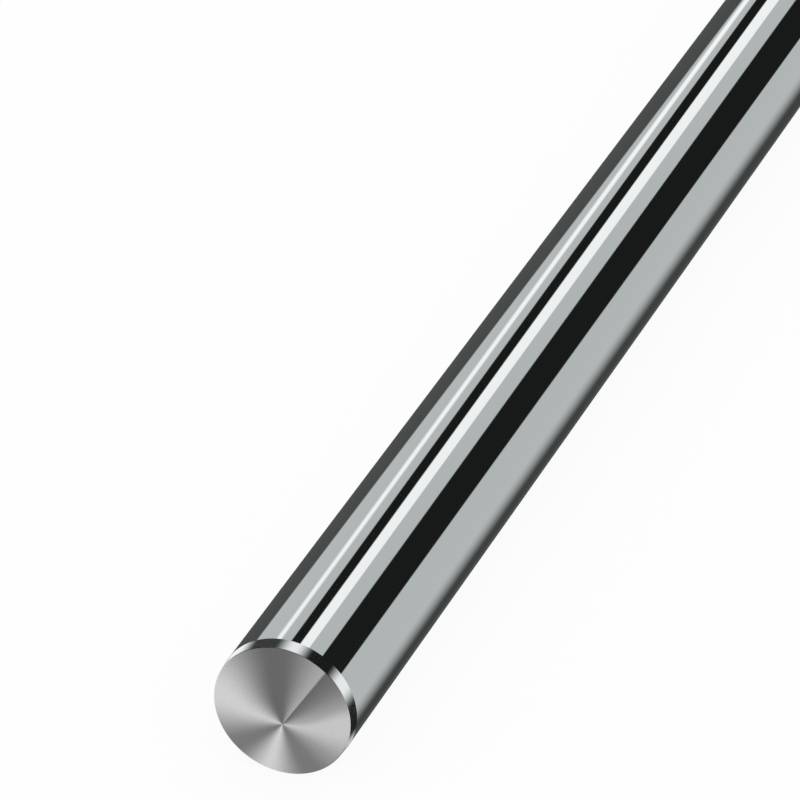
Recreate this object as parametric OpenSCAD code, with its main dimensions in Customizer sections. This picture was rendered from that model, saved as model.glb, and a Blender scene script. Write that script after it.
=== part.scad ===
// Linear shaft: one round bar, ground and chrome plated along its whole length,
// with a square-turned face and a slim lead-in chamfer at each end.
// The axis lies along X, and the origin is on the axis, midway between the end faces.

/* [Bar] */
// Diameter of the ground running surface
shaft_d = 20; // [10:0.5:60]
// Length from end face to end face
shaft_l = 300; // [100:1:3000]

/* [Ends] */
// Length of each lead-in chamfer, along the axis
chamfer_l = 2.2; // [0.6:0.1:4]
// Slope of the chamfer against the axis, in degrees
chamfer_angle = 3; // [2:0.5:30]
// Radius that breaks the edge between the chamfer and the end face
edge_r = 0.1; // [0.05:0.05:0.3]

/* [Hidden] */

// Bright chrome, a slightly cool grey
chrome = [0.70, 0.72, 0.72];
// Straight steps round the bar and round each edge, for a drawn picture
round_steps = 128;

shaft_r = shaft_d / 2;
half_l = shaft_l / 2;

// The lengthwise section has the radius across and the axis up.
// Where the running surface ends and the chamfer starts
rim = [shaft_r, half_l - chamfer_l];
// Centre of the broken edge, at its radius from the chamfer and from the end face
edge_centre = [
    shaft_r - (edge_r + (chamfer_l - edge_r) * sin(chamfer_angle)) / cos(chamfer_angle),
    half_l - edge_r
];
// Where the broken edge runs into the chamfer and into the end face
edge_on_chamfer = edge_centre + edge_r * [cos(chamfer_angle), sin(chamfer_angle)];
edge_on_face = edge_centre + edge_r * [0, 1];

// One half of the section, from the middle of the bar to one end
module half_section() {
    polygon([[0, 0], [shaft_r, 0], rim, edge_on_chamfer, edge_on_face, [0, half_l]]);
    translate(edge_centre)
        circle(r = edge_r, $fn = round_steps);
}

// The bar is turned about its axis and laid along X
module shaft() {
    color(chrome)
        rotate([0, 90, 0])
            rotate_extrude($fn = round_steps) {
                half_section();
                mirror([0, 1])
                    half_section();
            }
}

shaft();
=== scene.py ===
"""A linear shaft: one ground and chrome-plated steel bar lying on a white studio floor.

The bar is turned afresh from the CAD solid's own outline, with many more facets and exact normals,
because polished chrome shows every facet. The studio round it is long lights, grey panels and dark
flags, all running along the bar, over a bright floor. They give polished chrome its streaks.
"""

import math

import bpy
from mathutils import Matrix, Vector


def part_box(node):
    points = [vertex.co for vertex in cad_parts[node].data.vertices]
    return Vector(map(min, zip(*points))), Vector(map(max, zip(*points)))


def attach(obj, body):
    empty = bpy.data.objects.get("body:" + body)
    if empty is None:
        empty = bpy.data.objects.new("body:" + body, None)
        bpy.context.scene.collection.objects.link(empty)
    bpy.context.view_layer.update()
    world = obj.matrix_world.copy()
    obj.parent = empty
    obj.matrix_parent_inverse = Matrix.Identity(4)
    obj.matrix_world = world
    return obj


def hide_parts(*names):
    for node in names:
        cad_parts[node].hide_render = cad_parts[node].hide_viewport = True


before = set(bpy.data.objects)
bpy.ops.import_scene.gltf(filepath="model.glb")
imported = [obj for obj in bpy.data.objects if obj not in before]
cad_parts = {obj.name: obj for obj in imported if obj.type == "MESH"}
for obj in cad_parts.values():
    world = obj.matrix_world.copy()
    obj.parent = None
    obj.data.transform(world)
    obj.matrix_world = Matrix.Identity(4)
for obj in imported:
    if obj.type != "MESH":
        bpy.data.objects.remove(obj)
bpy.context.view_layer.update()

# The photograph's frame and camera
IMAGE_SIDE = 800
SENSOR_MM = 36.0
LENS_MM = 274.254
LOOK_DOWN = math.radians(30.203)
LOOK_LEFT = math.radians(20.961)
FACE_PIXEL = (281.807, 711.053)
FACE_DEPTH = 0.81924
CLIP = (0.05, 200)

# Facets round the turned bar, rings of an end face and length of a ring of the running surface
SIDES = 256
FACE_RINGS = 6
SPAN = 0.006
# Outline points nearer than the first length are one point. Steps of a rounded edge stay under the second.
SAME_POINT = 2e-6
ARC_STEP = 0.0002
# A stretch of the outline whose normal points along or across the axis by more than these shares is an
# end face or the running surface
END_FACING = 0.999
SIDE_FACING = 0.9999

# Places of the bar's skin on its texture map: the lower and upper edge of the running surface's band and
# of each chamfer's, then the middle of each end face's disc, and the disc's radius with the way along the
# skin that it stands for
RUNNING_BAND = (0.56, 0.98)
CHAMFER_BANDS = ((0.44, 0.48), (0.50, 0.54))
FACE_MIDDLES = ((0.25, 0.215), (0.75, 0.215))
FACE_RADIUS, FACE_WALK = 0.2, 0.0102

# Finishes of the bar, by material slot of its mesh
RUNNING, CHAMFER, FACE = range(3)
CHROME = (0.70, 0.72, 0.72)
# Spacing of the lines that grinding leaves round the bar, and turning on its ends
GROUND_PITCH = 0.00012
TURNED_PITCH = 0.00015
# The strengths that most lines have, and what they do to each finish: the share by which they change its
# colour, the roughness that they range over, and their height
LINE_STRENGTHS = (0.3, 0.7)
POLISHED = (0.012, (0.02, 0.034), 1e-8)
PLATED = (0.02, (0.06, 0.09), 2e-8)
TURNED = (0.04, (0.27, 0.33), 1e-6)
# How far turning lines stretch a highlight, and which way, as a share of a full turn
STRETCH, STRETCH_TURN = 0.5, 0.25

# Painted highlights and painted shade of a turned end face: light and dark sectors painted into its
# colour, fanning out over it. Each row is where a painted tone starts to come in and where it is reached,
# in degrees from the right-hand side upward as the near face shows them, then the tone, then how far both
# places turn from the middle of the painted sectors out to the rim. That middle lies below the axis.
PAINTED_SECTORS_START = 4
PAINTED_SECTORS = (
    (4, 20, 0.485, 13, 10),
    (16, 53, 0.187, 0, 0),
    (56, 58.2, 0.512, 0, 0),
    (48.5, 90, 0.165, 0, 0),
    (105, 182, 0.745, -7, -22.5),
    (163.5, 212.5, 0.222, 0, 0),
    (218, 260, 0.81, 0, 0),
    (246, 297, 0.233, 0, 0),
    (307, 345, 0.43, 0, 0),
    (332.5, 364, 0.675, 0, 0),
)
# Middle of the painted highlights and shade on an end face, and the distances from it over which the
# painted sectors lean toward the rim
PAINTED_SECTORS_CENTRE = (-0.000065, -0.00213)
PAINTED_SECTORS_RIM = (0.0015, 0.0098)

# Floor, by diffuse colour and share of plain white
FLOOR_SIDE = 60.0
FLOOR_WHITE = (0.95, 0.95, 0.95)
FLOOR_GLOW = 0.90

# What the running surface mirrors: each strip starts at an angle about the bar's axis, in degrees from
# the left-hand horizon up over the bar, seen from the near and from the far end of the view. Then come
# the blur of that edge, in degrees, and the strip's brightness. The first strip starts straight below.
STRIPS_START = -90.0
FIRST_STRIP = 0.088
FAR_STRIPS = (
    (6.9, 19.3, 4, 0.632),
    (41.9, 22.3, 6, 1.22),
    (49.4, 33.2, 5, 0.628),
    (66.2, 46.4, 2, 0.013),
    (81.5, 66.2, 2, 1.2),
    (96.8, 85.6, 2, 0.628),
    (120.8, 111.3, 2, 0.0138),
    (161.5, 161, 2, 0.632),
    (234.9, 223.9, 40, 0.064),
)
# Lamps are white; what is dimmer than they are has a little less red in it
PANEL_RED = 0.96
LAMP_LEVEL = (0.7, 1.1)
# What the chamfers mirror, which look more across the bar than along it
FIRST_SIDE_STRIP = 0.68
SIDE_STRIPS = (
    (-60, -60, 2, 1.12),
    (1.2, 1.2, 30, 0.057),
    (64.3, 64.3, 27, 1.12),
    (94.6, 94.6, 25, 0.0144),
    (151.9, 151.9, 24, 1.12),
    (192.9, 192.9, 32, 0.018),
    (262, 262, 24, 0.68),
)
# Share of a reflection that points along the bar, where the chamfers' strips give way to the running
# surface's, and where the near end of the view passes into the far end, with the bend of that passage
SIDE_LOOK = (0.762, 0.774)
NEAR_FAR_LOOK = (0.7789, 0.8585)
FAR_BEND = 1.25
# The dark flags beside the bar stand where reflections point along the bar by these shares. Away from
# them the metal mirrors a bright floor below the horizon. Straight under the bar runs a painted shadow, a
# line that stands for the bar's own shadow on the floor as reflections see it: dark where it is looked at
# across the bar and pale where it is looked at along it.
FLAGS_FROM, FLAGS_TO = (0.69, 0.71), (0.87, 0.89)
HORIZON = (-0.02, -0.08)
UNDER_BAR = (-0.90, -0.97)
ALONG_BAR = (0.67, 0.73)
FLOOR_LEVEL, UNDER_LEVEL, UNDER_PALE = 0.95, 0.12, 0.55


class Graph:
    """Adds nodes to a node tree; an input may be a number, a colour or another node's output."""

    def __init__(self, tree):
        self.tree = tree
        tree.nodes.clear()

    def add(self, kind, inputs=None, **settings):
        node = self.tree.nodes.new(kind)
        for name, value in settings.items():
            setattr(node, name, value)
        for name, value in (inputs or {}).items():
            self.feed(node.inputs[name], value)
        return node

    def feed(self, socket, value):
        if isinstance(value, bpy.types.NodeSocket):
            self.tree.links.new(value, socket)
        else:
            socket.default_value = value

    def math(self, operation, *values):
        node = self.add("ShaderNodeMath", operation=operation)
        for socket, value in zip(node.inputs, values):
            self.feed(socket, value)
        return node.outputs[0]

    def ramp(self, value, low, high, to_low=0.0, to_high=1.0, blend="SMOOTHSTEP"):
        node = self.add("ShaderNodeMapRange", interpolation_type=blend)
        for socket, number in zip(node.inputs, (value, low, high, to_low, to_high)):
            self.feed(socket, number)
        return node.outputs["Result"]

    def mix(self, share, first, second):
        return self.add("ShaderNodeMix", {"Factor": share, "A": first, "B": second}).outputs["Result"]

    def mix_shaders(self, share, first, second):
        return self.add("ShaderNodeMixShader", {0: share, 1: first.outputs[0], 2: second.outputs[0]})

    def show(self, shader, kind="ShaderNodeOutputMaterial"):
        """Makes a shader what the tree shows."""
        self.feed(self.add(kind).inputs["Surface"], shader.outputs[0])

    def place(self):
        """The point's x, y and z in the bar's own frame."""
        position = self.add("ShaderNodeTexCoord").outputs["Object"]
        return self.add("ShaderNodeSeparateXYZ", {"Vector": position}).outputs

    def lines(self, along, pitch):
        """Fine lines of uneven strength, one after the other along a length, from 0 to 1."""
        inputs = {"W": self.math("DIVIDE", along, pitch), "Scale": 1.0, "Detail": 3.0}
        return self.add("ShaderNodeTexNoise", inputs, noise_dimensions="1D").outputs["Fac"]


def add_object(name, data):
    """A new object in the scene."""
    thing = bpy.data.objects.new(name, data)
    bpy.context.scene.collection.objects.link(thing)
    return thing


def add_material(name):
    """A new material and its graph."""
    material = bpy.data.materials.new(name)
    material.use_nodes = True
    return material, Graph(material.node_tree)


def outline_of(node):
    """The bar's lengthwise outline, as (x, radius) from end face to end face, read off the CAD node."""
    points = sorted((v.co.x, math.hypot(v.co.y, v.co.z)) for v in node.data.vertices)
    outline = [points[0]]
    for point in points:
        if math.dist(point, outline[-1]) > SAME_POINT:
            outline.append(point)
    return outline


def bands(outline):
    """The outline cut into short bands from centre to centre: ends, normals at the ends and finish.

    A straight stretch keeps its own normal, so its corners stay crisp. A step of a rounded edge takes
    the normal of the stretch that it runs into, and shares one with the next step of the same edge.
    """
    corners = [(outline[0][0], 0.0), *outline, (outline[-1][0], 0.0)]
    stretches = list(zip(corners, corners[1:]))
    flats = [Vector((a[1] - b[1], b[0] - a[0])).normalized() for a, b in stretches]
    straight = [math.dist(a, b) > ARC_STEP for a, b in stretches]

    def normal_at(i, j):
        if straight[i]:
            return flats[i]
        return flats[j] if straight[j] else (flats[i] + flats[j]).normalized()

    cut = []
    for i, (a, b) in enumerate(stretches):
        if abs(flats[i].x) > END_FACING:
            finish, count = FACE, FACE_RINGS
        elif flats[i].y > SIDE_FACING:
            finish, count = RUNNING, math.ceil((b[0] - a[0]) / SPAN)
        else:
            finish, count = CHAMFER if straight[i] else FACE, 1
        normals = (normal_at(i, i - 1), normal_at(i, i + 1 if i + 1 < len(flats) else i))
        points = [Vector(a).lerp(Vector(b), k / count) for k in range(count + 1)]
        cut += [(start, end, *normals, finish) for start, end in zip(points, points[1:])]
    return cut


def map_place(finish, walked, skin, share, turn):
    """A skin point's place on the texture map.

    It depends on how far the point lies along the whole skin's outline, on its share of the way across
    its own band, and on its turn about the bar.
    """
    far_end = walked > skin / 2
    if finish == RUNNING:
        low, high = RUNNING_BAND
        return walked / skin, low + (high - low) * turn
    if finish == CHAMFER:
        low, high = CHAMFER_BANDS[far_end]
        return turn, low + (high - low) * share
    across, up = FACE_MIDDLES[far_end]
    out = FACE_RADIUS * min(walked, skin - walked) / FACE_WALK
    return across + out * math.cos(2 * math.pi * turn), up + out * math.sin(2 * math.pi * turn)


def turned_bar(node):
    """The bar as one fine mesh, with a material slot for each finish."""
    cut = bands(outline_of(node))
    stations = [cut[0][0]] + [end for _, end, *_ in cut]
    turns = [2 * math.pi * k / SIDES for k in range(SIDES)]
    verts = []
    rows = []
    for x, radius in stations:
        around = turns if radius > 0 else turns[:1]
        rows.append(range(len(verts), len(verts) + len(around)))
        verts += [(x, radius * math.cos(turn), radius * math.sin(turn)) for turn in around]

    walks = [0.0]
    for start, end in zip(stations, stations[1:]):
        walks.append(walks[-1] + (end - start).length)

    faces = []
    finishes = []
    normals = []
    places = []
    for i, (_, _, start, end, finish) in enumerate(cut):
        for k in range(SIDES):
            corners = [(i, k, start), (i, k + 1, start), (i + 1, k + 1, end), (i + 1, k, end)]
            if len(rows[i]) == 1:
                corners.pop(0)
            if len(rows[i + 1]) == 1:
                corners.pop(2)
            faces.append([rows[row][side % len(rows[row])] for row, side, _ in corners])
            finishes.append(finish)
            for row, side, normal in corners:
                turn = turns[side % SIDES]
                normals.append((normal.x, normal.y * math.cos(turn), normal.y * math.sin(turn)))
                places.append(map_place(finish, walks[row], walks[-1], row - i, side / SIDES))

    mesh = bpy.data.meshes.new("bar")
    mesh.from_pydata(verts, [], faces)
    mesh.polygons.foreach_set("material_index", finishes)
    mesh.shade_smooth()
    mesh.normals_split_custom_set(normals)
    skin_map = mesh.uv_layers.new(name="OFBake")
    for corner, place in zip(skin_map.data, places):
        corner.uv = place
    return add_object("bar", mesh)


def metal(name):
    """A new material's graph and its metallic surface."""
    material, graph = add_material(name)
    surface = graph.add("ShaderNodeBsdfPrincipled", {"Metallic": 1.0})
    graph.show(surface)
    return material, graph, surface


def line_up(graph, surface, colour, lines, change, roughness, height):
    """Lets fine lines change a surface's colour by a share of it, its roughness and its height."""
    shade = graph.ramp(lines, *LINE_STRENGTHS, 1 - change, 1 + change)
    shaded = graph.add("ShaderNodeVectorMath", {0: colour, "Scale": shade}, operation="SCALE")
    graph.feed(surface.inputs["Base Color"], shaded.outputs[0])
    graph.feed(surface.inputs["Roughness"], graph.ramp(lines, *LINE_STRENGTHS, *roughness))
    bump = graph.add("ShaderNodeBump", {"Strength": 1.0, "Distance": height, "Height": lines})
    graph.feed(surface.inputs["Normal"], bump.outputs[0])


def chrome(name, pitch, finish):
    """Chrome plating, with a faint lay of lines running round the bar."""
    material, graph, surface = metal(name)
    along, _, _ = graph.place()
    line_up(graph, surface, CHROME, graph.lines(along, pitch), *finish)
    return material


def turned_steel_painted_light():
    """The end faces: fine turned steel whose lines stretch highlights, with light and dark sectors painted
    into its colour as painted highlights and painted shade.
    """
    material, graph, surface = metal("turned_steel_painted_light")
    _, left, up = graph.place()
    right = graph.math("SUBTRACT", PAINTED_SECTORS_CENTRE[0], left)
    above = graph.math("SUBTRACT", up, PAINTED_SECTORS_CENTRE[1])
    turn = graph.math("DEGREES", graph.math("ARCTAN2", above, right))
    turn = graph.math("WRAP", turn, PAINTED_SECTORS_START + 360.0, PAINTED_SECTORS_START)
    squared = graph.math("MULTIPLY_ADD", right, right, graph.math("MULTIPLY", above, above))
    out = graph.math("SQRT", squared)
    rim = graph.ramp(out, *PAINTED_SECTORS_RIM)
    # The painted tone: painted highlights and painted shade, built up sector by sector in the base colour
    painted_tone = level = PAINTED_SECTORS[-1][2]
    for start, end, reached, start_lean, end_lean in PAINTED_SECTORS:
        start = graph.math("MULTIPLY_ADD", rim, start_lean, start)
        end = graph.math("MULTIPLY_ADD", rim, end_lean, end)
        painted_tone = graph.math("ADD", painted_tone, graph.ramp(turn, start, end, 0.0, reached - level))
        level = reached
    colour = graph.add("ShaderNodeCombineXYZ", {"X": painted_tone, "Y": painted_tone, "Z": painted_tone})
    line_up(graph, surface, colour.outputs[0], graph.lines(out, TURNED_PITCH), *TURNED)
    surface.inputs["Anisotropic"].default_value = STRETCH
    surface.inputs["Anisotropic Rotation"].default_value = STRETCH_TURN
    tangent = graph.add("ShaderNodeTangent", direction_type="RADIAL", axis="X")
    graph.feed(surface.inputs["Tangent"], tangent.outputs[0])
    return material


def strips(graph, angle, far_share, first, table):
    """Brightness at an angle about the bar, from the first strip's and a table of the others."""
    total = level = first
    for near, far, blur, brightness in table:
        drift = graph.math("MULTIPLY", far_share, far - near)
        place = graph.math("SUBTRACT", angle, drift)
        step = graph.ramp(place, near - blur / 2, near + blur / 2, 0.0, brightness - level)
        total = graph.math("ADD", total, step)
        level = brightness
    return total


def studio():
    """White all round for the camera and the floor; strips and a bright floor for what mirrors."""
    world = bpy.data.worlds.new("studio")
    world.use_nodes = True
    graph = Graph(world.node_tree)
    direction = graph.add("ShaderNodeTexCoord").outputs["Generated"]
    along, left, up = graph.add("ShaderNodeSeparateXYZ", {"Vector": direction}).outputs
    around = graph.math("ARCTAN2", up, left)
    angle = graph.math("WRAP", graph.math("DEGREES", around), STRIPS_START + 360.0, STRIPS_START)
    share = graph.math("ABSOLUTE", along)
    far_share = graph.math("POWER", graph.ramp(share, *NEAR_FAR_LOOK, blend="LINEAR"), FAR_BEND)
    beyond = strips(graph, angle, far_share, FIRST_STRIP, FAR_STRIPS)
    beside = strips(graph, angle, far_share, FIRST_SIDE_STRIP, SIDE_STRIPS)
    strip = graph.mix(graph.ramp(share, *SIDE_LOOK), beside, beyond)
    # Painted shadow of the bar on the floor below it, which only reflections see
    under = graph.ramp(share, *ALONG_BAR, UNDER_LEVEL, UNDER_PALE)
    ground = graph.ramp(graph.math("SINE", around), *UNDER_BAR, FLOOR_LEVEL, under)
    clear = graph.math("ADD", graph.ramp(along, *FLAGS_FROM, 1.0, 0.0), graph.ramp(along, *FLAGS_TO))
    low = graph.math("MULTIPLY", clear, graph.ramp(up, *HORIZON))
    glossy = graph.add("ShaderNodeLightPath").outputs["Is Glossy Ray"]
    level = graph.mix(glossy, 1.0, graph.mix(low, strip, ground))
    panels = graph.math("MULTIPLY", glossy, graph.math("SUBTRACT", 1.0, low))
    red = graph.mix(panels, 1.0, graph.ramp(strip, *LAMP_LEVEL, PANEL_RED, 1.0))
    tint = graph.add("ShaderNodeCombineColor", {"Red": red, "Green": 1.0, "Blue": 1.0}).outputs[0]
    sky = graph.add("ShaderNodeBackground", {"Color": tint, "Strength": level})
    graph.show(sky, "ShaderNodeOutputWorld")
    # Reflections alone look up the strips, so that none of the plain white gets into them
    world.cycles.sampling_method = "NONE"
    bpy.context.scene.world = world


def floor(height):
    """A plain white floor that keeps a faint shadow; mirrors look through it to the studio."""
    half = FLOOR_SIDE / 2
    mesh = bpy.data.meshes.new("floor")
    corners = [(-half, -half), (half, -half), (half, half), (-half, half)]
    mesh.from_pydata([(x, y, height) for x, y in corners], [], [(0, 1, 2, 3)])
    sheet = add_object("floor", mesh)
    material, graph = add_material("floor")
    mesh.materials.append(material)

    path = graph.add("ShaderNodeLightPath").outputs
    glow = graph.math("MULTIPLY", path["Is Camera Ray"], FLOOR_GLOW)
    paint = graph.add("ShaderNodeBsdfDiffuse", {"Color": (*FLOOR_WHITE, 1)})
    white = graph.add("ShaderNodeEmission", {"Strength": 1.0})
    clear = graph.add("ShaderNodeBsdfTransparent")
    seen = graph.mix_shaders(glow, paint, white)
    graph.show(graph.mix_shaders(path["Is Glossy Ray"], seen, clear))


def photo_camera(target):
    """Looks down along the bar, with the middle of its near end face on that face's pixel."""
    forward = Vector((
        math.cos(LOOK_DOWN) * math.cos(LOOK_LEFT),
        math.cos(LOOK_DOWN) * math.sin(LOOK_LEFT),
        -math.sin(LOOK_DOWN),
    ))
    right = forward.cross((0, 0, 1)).normalized()
    up = right.cross(forward)
    pixels = LENS_MM / SENSOR_MM * IMAGE_SIDE
    across = (FACE_PIXEL[0] - IMAGE_SIDE / 2) / pixels
    above = (IMAGE_SIDE / 2 - FACE_PIXEL[1]) / pixels
    data = bpy.data.cameras.new("camera")
    data.sensor_width = SENSOR_MM
    data.lens = LENS_MM
    data.clip_start, data.clip_end = CLIP
    camera = add_object("camera", data)
    camera.location = target - FACE_DEPTH * (forward + across * right + above * up)
    camera.rotation_euler = forward.to_track_quat("-Z", "Y").to_euler()
    bpy.context.scene.camera = camera


low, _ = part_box("shaft")
bar = turned_bar(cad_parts["shaft"])
bar.data.materials.append(chrome("polished_chrome", GROUND_PITCH, POLISHED))
bar.data.materials.append(chrome("chamfer_chrome", TURNED_PITCH, PLATED))
bar.data.materials.append(turned_steel_painted_light())
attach(bar, "root")
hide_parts("shaft")

studio()
floor(low.z)
photo_camera(Vector((low.x, 0, 0)))
bpy.context.scene.view_settings.view_transform = "Standard"
